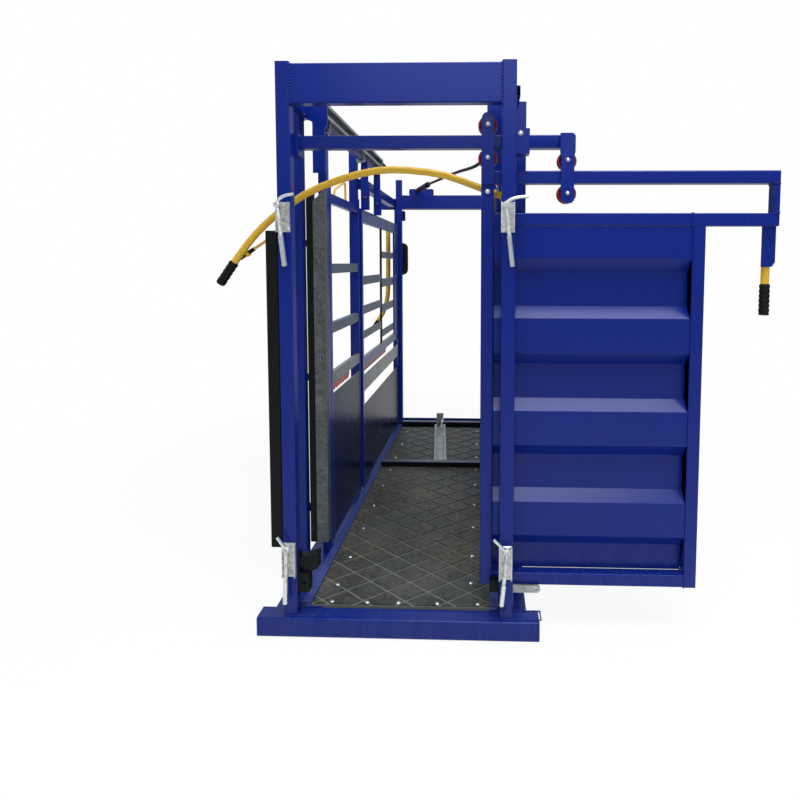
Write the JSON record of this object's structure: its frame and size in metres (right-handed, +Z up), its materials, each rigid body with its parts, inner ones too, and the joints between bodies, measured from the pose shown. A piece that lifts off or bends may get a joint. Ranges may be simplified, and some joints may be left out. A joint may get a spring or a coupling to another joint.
{
  "type": "cattle crush",
  "caption": "Livestock crush with a sliding rear gate on rollers, a lever squeeze, vet gates, a rubber floor and a sliding head bail.",
  "frame": {"origin": "middle of the rear sill's underside, in the plane of the rear posts' back faces", "axes": "+Z up, +Y along the passage towards the head bail, +X to the right of someone behind the crush"},
  "size_m": [2.2452, 2.7991, 2.232],
  "materials": {
    "blue_paint": "gloss blue enamel on welded steel tube",
    "galvanised": "dull zinc-plated steel",
    "rubber": "matt black rubber",
    "mat_rubber": "dark grey moulded rubber",
    "yellow_paint": "gloss yellow enamel",
    "red_paint": "gloss red"
  },
  "bodies": {
    "frame": {"rear_sill": "blue_paint", "rear_post_left": "blue_paint", "rear_post_right": "blue_paint", "rear_header": "blue_paint", "gate_rail": "blue_paint", "guide_roller_plate": "blue_paint", "gate_buffer": "rubber", "floor_deck": "blue_paint", "floor_mat_rear": "mat_rubber", "floor_mat_front": "mat_rubber", "floor_channel": "galvanised", "side_frame_left": "blue_paint", "side_frame_right": "blue_paint", "roof_rail_left": "galvanised", "roof_rail_right": "galvanised", "roof_buffer_left": "rubber", "roof_buffer_right": "rubber", "end_channel_left": "galvanised", "end_channel_right": "galvanised", "seal_strip_left": "rubber", "seal_strip_right": "rubber", "squeeze_pivot": "blue_paint", "front_frame": "blue_paint", "head_cable": "rubber", "latch_upper_left_bracket": "galvanised", "latch_upper_right_bracket": "galvanised", "latch_lower_left_bracket": "galvanised", "latch_lower_right_bracket": "galvanised"},
    "gate": {"gate_frame": "blue_paint", "gate_sheet": "blue_paint", "gate_handle_arm": "blue_paint", "gate_handle": "yellow_paint", "gate_handle_grip": "rubber"},
    "hanger_roller_upper": {"hanger_roller_upper": "red_paint"},
    "hanger_roller_lower": {"hanger_roller_lower": "red_paint"},
    "guide_roller_upper": {"guide_roller_upper": "red_paint"},
    "guide_roller_lower": {"guide_roller_lower": "red_paint"},
    "squeeze_lever": {"squeeze_lever": "yellow_paint", "squeeze_lever_grip": "rubber"},
    "squeeze_release_rod": {"squeeze_release_rod": "yellow_paint"},
    "head_lever": {"head_lever": "yellow_paint", "head_lever_grip": "rubber"},
    "latch_upper_left": {"latch_upper_left_arm": "galvanised"},
    "latch_upper_right": {"latch_upper_right_arm": "galvanised"},
    "latch_lower_left": {"latch_lower_left_arm": "galvanised"},
    "latch_lower_right": {"latch_lower_right_arm": "galvanised"},
    "vet_gate_left": {"vet_gate_left": "blue_paint", "bar_rack_rear_left": "red_paint"},
    "squeeze_panel_left": {"squeeze_panel_left": "blue_paint", "bar_rack_front_left": "red_paint"},
    "squeeze_crank_left": {"squeeze_crank_left": "blue_paint"},
    "head_jaw_left": {"head_jaw_left": "blue_paint", "head_pad_left": "rubber"},
    "vet_gate_right": {"vet_gate_right": "blue_paint", "bar_rack_rear_right": "red_paint"},
    "squeeze_panel_right": {"squeeze_panel_right": "blue_paint", "bar_rack_front_right": "red_paint"},
    "squeeze_crank_right": {"squeeze_crank_right": "blue_paint"},
    "head_jaw_right": {"head_jaw_right": "blue_paint", "head_pad_right": "rubber"}
  },
  "joints": [
    {"name": "gate_slide", "type": "slide", "parent": "frame", "child": "gate", "axis": [-1, 0, 0], "range_m": [0, 0.66]},
    {"name": "hanger_roller_upper_spin", "type": "hinge", "parent": "gate", "child": "hanger_roller_upper", "pos_m": [0.347, 0.093, 2.0098], "axis": [0, 1, 0], "range_deg": [-1010.41, 1010.41]},
    {"name": "hanger_roller_lower_spin", "type": "hinge", "parent": "gate", "child": "hanger_roller_lower", "pos_m": [0.347, 0.093, 1.8842], "axis": [0, 1, 0], "range_deg": [-1010.41, 1010.41]},
    {"name": "guide_roller_upper_spin", "type": "hinge", "parent": "frame", "child": "guide_roller_upper", "pos_m": [0.653, 0.093, 1.8738], "axis": [0, 1, 0], "range_deg": [-1010.41, 1010.41]},
    {"name": "guide_roller_lower_spin", "type": "hinge", "parent": "frame", "child": "guide_roller_lower", "pos_m": [0.653, 0.093, 1.7482], "axis": [0, 1, 0], "range_deg": [-1010.41, 1010.41]},
    {"name": "latch_upper_left_swing", "type": "hinge", "parent": "frame", "child": "latch_upper_left", "pos_m": [-0.444, -0.0265, 1.696], "axis": [0, 1, 0], "range_deg": [-35, 10]},
    {"name": "latch_upper_right_swing", "type": "hinge", "parent": "frame", "child": "latch_upper_right", "pos_m": [0.4155, -0.0265, 1.696], "axis": [0, 1, 0], "range_deg": [-35, 10]},
    {"name": "latch_lower_left_swing", "type": "hinge", "parent": "frame", "child": "latch_lower_left", "pos_m": [-0.4325, -0.0265, 0.364], "axis": [0, 1, 0], "range_deg": [-35, 10]},
    {"name": "latch_lower_right_swing", "type": "hinge", "parent": "frame", "child": "latch_lower_right", "pos_m": [0.4285, -0.0265, 0.366], "axis": [0, 1, 0], "range_deg": [-35, 10]},
    {"name": "vet_gate_left_hinge", "type": "hinge", "parent": "frame", "child": "vet_gate_left", "pos_m": [-0.45, 0.53, 0.9], "axis": [0, 0, 1], "range_deg": [0, 90]},
    {"name": "vet_gate_right_hinge", "type": "hinge", "parent": "frame", "child": "vet_gate_right", "pos_m": [0.45, 0.53, 0.9], "axis": [0, 0, -1], "range_deg": [0, 90]},
    {"name": "squeeze_lever_hinge", "type": "hinge", "parent": "frame", "child": "squeeze_lever", "pos_m": [0.425, 0.19, 1.747], "axis": [0, -1, 0], "range_deg": [0, 25]},
    {"name": "squeeze_crank_left_turn", "type": "hinge", "parent": "frame", "child": "squeeze_crank_left", "pos_m": [-0.383, 0.34, 2.083], "axis": [0, -1, 0], "range_deg": [0, 35.1]},
    {"name": "squeeze_panel_left_tilt", "type": "hinge", "parent": "frame", "child": "squeeze_panel_left", "pos_m": [-0.415, 1.205, 0.092], "axis": [0, 1, 0], "range_deg": [0, 3.4]},
    {"name": "squeeze_crank_right_turn", "type": "hinge", "parent": "frame", "child": "squeeze_crank_right", "pos_m": [0.383, 0.34, 2.083], "axis": [0, 1, 0], "range_deg": [0, 35.1]},
    {"name": "squeeze_panel_right_tilt", "type": "hinge", "parent": "frame", "child": "squeeze_panel_right", "pos_m": [0.415, 1.205, 0.092], "axis": [0, -1, 0], "range_deg": [0, 3.4]},
    {"name": "squeeze_release_pull", "type": "slide", "parent": "squeeze_lever", "child": "squeeze_release_rod", "axis": [-0.8321, 0, -0.5547], "range_m": [-0.012, 0], "stiffness_N_per_m": 800, "springref_m": 0.01},
    {"name": "head_lever_hinge", "type": "hinge", "parent": "frame", "child": "head_lever", "pos_m": [-0.482, 2.645, 1.8], "axis": [1, 0, 0], "range_deg": [-30, 30]},
    {"name": "head_jaw_left_slide", "type": "slide", "parent": "frame", "child": "head_jaw_left", "axis": [1, 0, 0], "range_m": [-0.1, 0.22]},
    {"name": "head_jaw_right_slide", "type": "slide", "parent": "frame", "child": "head_jaw_right", "axis": [-1, 0, 0], "range_m": [-0.1, 0.22]}
  ],
  "couplings": [
    {"joint": "hanger_roller_upper_spin", "follows": "gate_slide", "rad_per_m": -26.667},
    {"joint": "hanger_roller_lower_spin", "follows": "gate_slide", "rad_per_m": 26.667},
    {"joint": "guide_roller_upper_spin", "follows": "gate_slide", "rad_per_m": 26.667},
    {"joint": "guide_roller_lower_spin", "follows": "gate_slide", "rad_per_m": -26.667},
    {"joint": "squeeze_crank_left_turn", "follows": "squeeze_lever_hinge", "ratio": 1.4},
    {"joint": "squeeze_panel_left_tilt", "follows": "squeeze_lever_hinge", "ratio": 0.135},
    {"joint": "squeeze_crank_right_turn", "follows": "squeeze_lever_hinge", "ratio": 1.4},
    {"joint": "squeeze_panel_right_tilt", "follows": "squeeze_lever_hinge", "ratio": 0.135}
  ]
}
